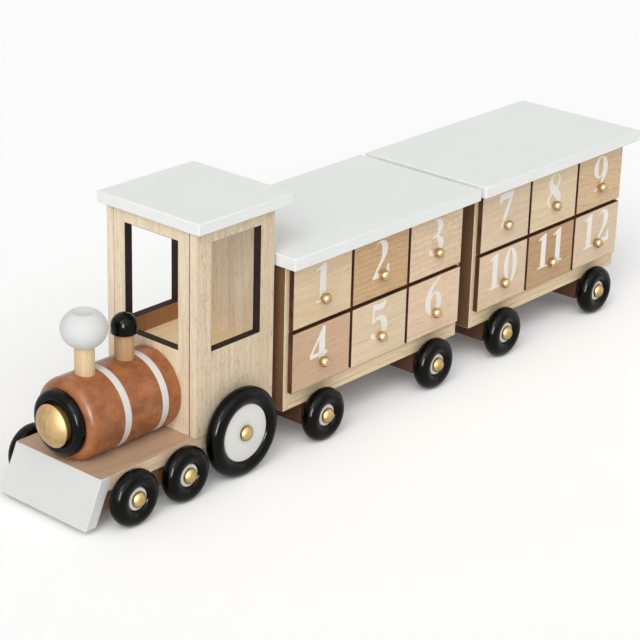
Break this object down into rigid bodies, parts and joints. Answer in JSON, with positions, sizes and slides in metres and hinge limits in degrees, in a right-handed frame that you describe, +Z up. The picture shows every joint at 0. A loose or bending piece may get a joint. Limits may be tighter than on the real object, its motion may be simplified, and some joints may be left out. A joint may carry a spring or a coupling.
{
  "type": "wooden train advent calendar",
  "caption": "Wooden toy train whose two carriages hold small numbered pull-out drawers on both sides, with turned wheels, boiler and cab, used as an advent calendar.",
  "frame": {"origin": "on the ground under the middle of the train's overall box", "axes": "+X from the nose to the tail, +Z up, drawers 1 to 12 open along -Y and 13 to 24 along +Y"},
  "size_m": [0.5896, 0.1206, 0.1899],
  "materials": {
    "natural_wood": "bare, sanded, matte",
    "white_paint": "white satin paint",
    "black_gloss": "black gloss paint",
    "stained_wood": "brown stain, satin",
    "gold_paint": "gold metallic paint"
  },
  "bodies": {
    "locomotive": {"footplate": "natural_wood", "underframe": "natural_wood", "cowcatcher": "white_paint", "boiler": "stained_wood", "smokebox_ring": "black_gloss", "headlamp": "gold_paint", "boiler_posts": "natural_wood", "chimney_ball": "white_paint", "dome_cap": "black_gloss", "cab_front_panel": "natural_wood", "cab_rear_panel": "natural_wood", "cab_side_panels": "natural_wood", "cab_base": "natural_wood", "cab_floor": "natural_wood", "cab_roof": "white_paint", "loco_hitch_peg": "natural_wood"},
    "carriage_1": {"car1_floor": "natural_wood", "car1_end_panels": "natural_wood", "car1_dividers": "natural_wood", "car1_roof": "white_paint", "car1_axle_blocks": "natural_wood", "car1_drawbar": "natural_wood", "car1_hitch_peg": "natural_wood"},
    "carriage_2": {"car2_floor": "natural_wood", "car2_end_panels": "natural_wood", "car2_dividers": "natural_wood", "car2_roof": "white_paint", "car2_axle_blocks": "natural_wood", "car2_drawbar": "natural_wood"},
    "loco_front_wheels": {"loco_front_wheelset": "black_gloss"},
    "loco_middle_wheels": {"loco_middle_wheelset": "black_gloss"},
    "loco_rear_wheels": {"loco_rear_wheelset": "black_gloss"},
    "car1_front_wheels": {"car1_front_wheelset": "black_gloss"},
    "car1_rear_wheels": {"car1_rear_wheelset": "black_gloss"},
    "car2_front_wheels": {"car2_front_wheelset": "black_gloss"},
    "car2_rear_wheels": {"car2_rear_wheelset": "black_gloss"},
    "drawer_01": {"drawer_01": "natural_wood"},
    "drawer_02": {"drawer_02": "natural_wood"},
    "drawer_03": {"drawer_03": "natural_wood"},
    "drawer_04": {"drawer_04": "natural_wood"},
    "drawer_05": {"drawer_05": "natural_wood"},
    "drawer_06": {"drawer_06": "natural_wood"},
    "drawer_07": {"drawer_07": "natural_wood"},
    "drawer_08": {"drawer_08": "natural_wood"},
    "drawer_09": {"drawer_09": "natural_wood"},
    "drawer_10": {"drawer_10": "natural_wood"},
    "drawer_11": {"drawer_11": "natural_wood"},
    "drawer_12": {"drawer_12": "natural_wood"},
    "drawer_13": {"drawer_13": "natural_wood"},
    "drawer_14": {"drawer_14": "natural_wood"},
    "drawer_15": {"drawer_15": "natural_wood"},
    "drawer_16": {"drawer_16": "natural_wood"},
    "drawer_17": {"drawer_17": "natural_wood"},
    "drawer_18": {"drawer_18": "natural_wood"},
    "drawer_19": {"drawer_19": "natural_wood"},
    "drawer_20": {"drawer_20": "natural_wood"},
    "drawer_21": {"drawer_21": "natural_wood"},
    "drawer_22": {"drawer_22": "natural_wood"},
    "drawer_23": {"drawer_23": "natural_wood"},
    "drawer_24": {"drawer_24": "natural_wood"}
  },
  "joints": [
    {"name": "carriage_1_coupling", "type": "hinge", "parent": "locomotive", "child": "carriage_1", "pos_m": [-0.13275, 0, 0.027], "axis": [0, 0, 1], "range_deg": [-2, 2]},
    {"name": "carriage_2_coupling", "type": "hinge", "parent": "carriage_1", "child": "carriage_2", "pos_m": [0.06825, 0, 0.027], "axis": [0, 0, 1], "range_deg": [-4, 4]},
    {"name": "loco_front_axle", "type": "hinge", "parent": "locomotive", "child": "loco_front_wheels", "pos_m": [-0.25915, 0, 0.0196], "axis": [0, 1, 0], "continuous": true},
    {"name": "loco_middle_axle", "type": "hinge", "parent": "locomotive", "child": "loco_middle_wheels", "pos_m": [-0.21245, 0, 0.0196], "axis": [0, 1, 0], "continuous": true},
    {"name": "loco_rear_axle", "type": "hinge", "parent": "locomotive", "child": "loco_rear_wheels", "pos_m": [-0.15875, 0, 0.0322], "axis": [0, 1, 0], "continuous": true},
    {"name": "car1_front_axle", "type": "hinge", "parent": "carriage_1", "child": "car1_front_wheels", "pos_m": [-0.07875, 0, 0.0196], "axis": [0, 1, 0], "continuous": true},
    {"name": "car1_rear_axle", "type": "hinge", "parent": "carriage_1", "child": "car1_rear_wheels", "pos_m": [0.04525, 0, 0.0196], "axis": [0, 1, 0], "continuous": true},
    {"name": "car2_front_axle", "type": "hinge", "parent": "carriage_2", "child": "car2_front_wheels", "pos_m": [0.13075, 0, 0.0196], "axis": [0, 1, 0], "continuous": true},
    {"name": "car2_rear_axle", "type": "hinge", "parent": "carriage_2", "child": "car2_rear_wheels", "pos_m": [0.25475, 0, 0.0196], "axis": [0, 1, 0], "continuous": true},
    {"name": "drawer_01_slide", "type": "slide", "parent": "carriage_1", "child": "drawer_01", "axis": [0, -1, 0], "range_m": [0, 0.036]},
    {"name": "drawer_02_slide", "type": "slide", "parent": "carriage_1", "child": "drawer_02", "axis": [0, -1, 0], "range_m": [0, 0.036]},
    {"name": "drawer_03_slide", "type": "slide", "parent": "carriage_1", "child": "drawer_03", "axis": [0, -1, 0], "range_m": [0, 0.036]},
    {"name": "drawer_04_slide", "type": "slide", "parent": "carriage_1", "child": "drawer_04", "axis": [0, -1, 0], "range_m": [0, 0.036]},
    {"name": "drawer_05_slide", "type": "slide", "parent": "carriage_1", "child": "drawer_05", "axis": [0, -1, 0], "range_m": [0, 0.036]},
    {"name": "drawer_06_slide", "type": "slide", "parent": "carriage_1", "child": "drawer_06", "axis": [0, -1, 0], "range_m": [0, 0.036]},
    {"name": "drawer_07_slide", "type": "slide", "parent": "carriage_2", "child": "drawer_07", "axis": [0, -1, 0], "range_m": [0, 0.036]},
    {"name": "drawer_08_slide", "type": "slide", "parent": "carriage_2", "child": "drawer_08", "axis": [0, -1, 0], "range_m": [0, 0.036]},
    {"name": "drawer_09_slide", "type": "slide", "parent": "carriage_2", "child": "drawer_09", "axis": [0, -1, 0], "range_m": [0, 0.036]},
    {"name": "drawer_10_slide", "type": "slide", "parent": "carriage_2", "child": "drawer_10", "axis": [0, -1, 0], "range_m": [0, 0.036]},
    {"name": "drawer_11_slide", "type": "slide", "parent": "carriage_2", "child": "drawer_11", "axis": [0, -1, 0], "range_m": [0, 0.036]},
    {"name": "drawer_12_slide", "type": "slide", "parent": "carriage_2", "child": "drawer_12", "axis": [0, -1, 0], "range_m": [0, 0.036]},
    {"name": "drawer_13_slide", "type": "slide", "parent": "carriage_2", "child": "drawer_13", "axis": [0, 1, 0], "range_m": [0, 0.036]},
    {"name": "drawer_14_slide", "type": "slide", "parent": "carriage_2", "child": "drawer_14", "axis": [0, 1, 0], "range_m": [0, 0.036]},
    {"name": "drawer_15_slide", "type": "slide", "parent": "carriage_2", "child": "drawer_15", "axis": [0, 1, 0], "range_m": [0, 0.036]},
    {"name": "drawer_16_slide", "type": "slide", "parent": "carriage_2", "child": "drawer_16", "axis": [0, 1, 0], "range_m": [0, 0.036]},
    {"name": "drawer_17_slide", "type": "slide", "parent": "carriage_2", "child": "drawer_17", "axis": [0, 1, 0], "range_m": [0, 0.036]},
    {"name": "drawer_18_slide", "type": "slide", "parent": "carriage_2", "child": "drawer_18", "axis": [0, 1, 0], "range_m": [0, 0.036]},
    {"name": "drawer_19_slide", "type": "slide", "parent": "carriage_1", "child": "drawer_19", "axis": [0, 1, 0], "range_m": [0, 0.036]},
    {"name": "drawer_20_slide", "type": "slide", "parent": "carriage_1", "child": "drawer_20", "axis": [0, 1, 0], "range_m": [0, 0.036]},
    {"name": "drawer_21_slide", "type": "slide", "parent": "carriage_1", "child": "drawer_21", "axis": [0, 1, 0], "range_m": [0, 0.036]},
    {"name": "drawer_22_slide", "type": "slide", "parent": "carriage_1", "child": "drawer_22", "axis": [0, 1, 0], "range_m": [0, 0.036]},
    {"name": "drawer_23_slide", "type": "slide", "parent": "carriage_1", "child": "drawer_23", "axis": [0, 1, 0], "range_m": [0, 0.036]},
    {"name": "drawer_24_slide", "type": "slide", "parent": "carriage_1", "child": "drawer_24", "axis": [0, 1, 0], "range_m": [0, 0.036]}
  ]
}
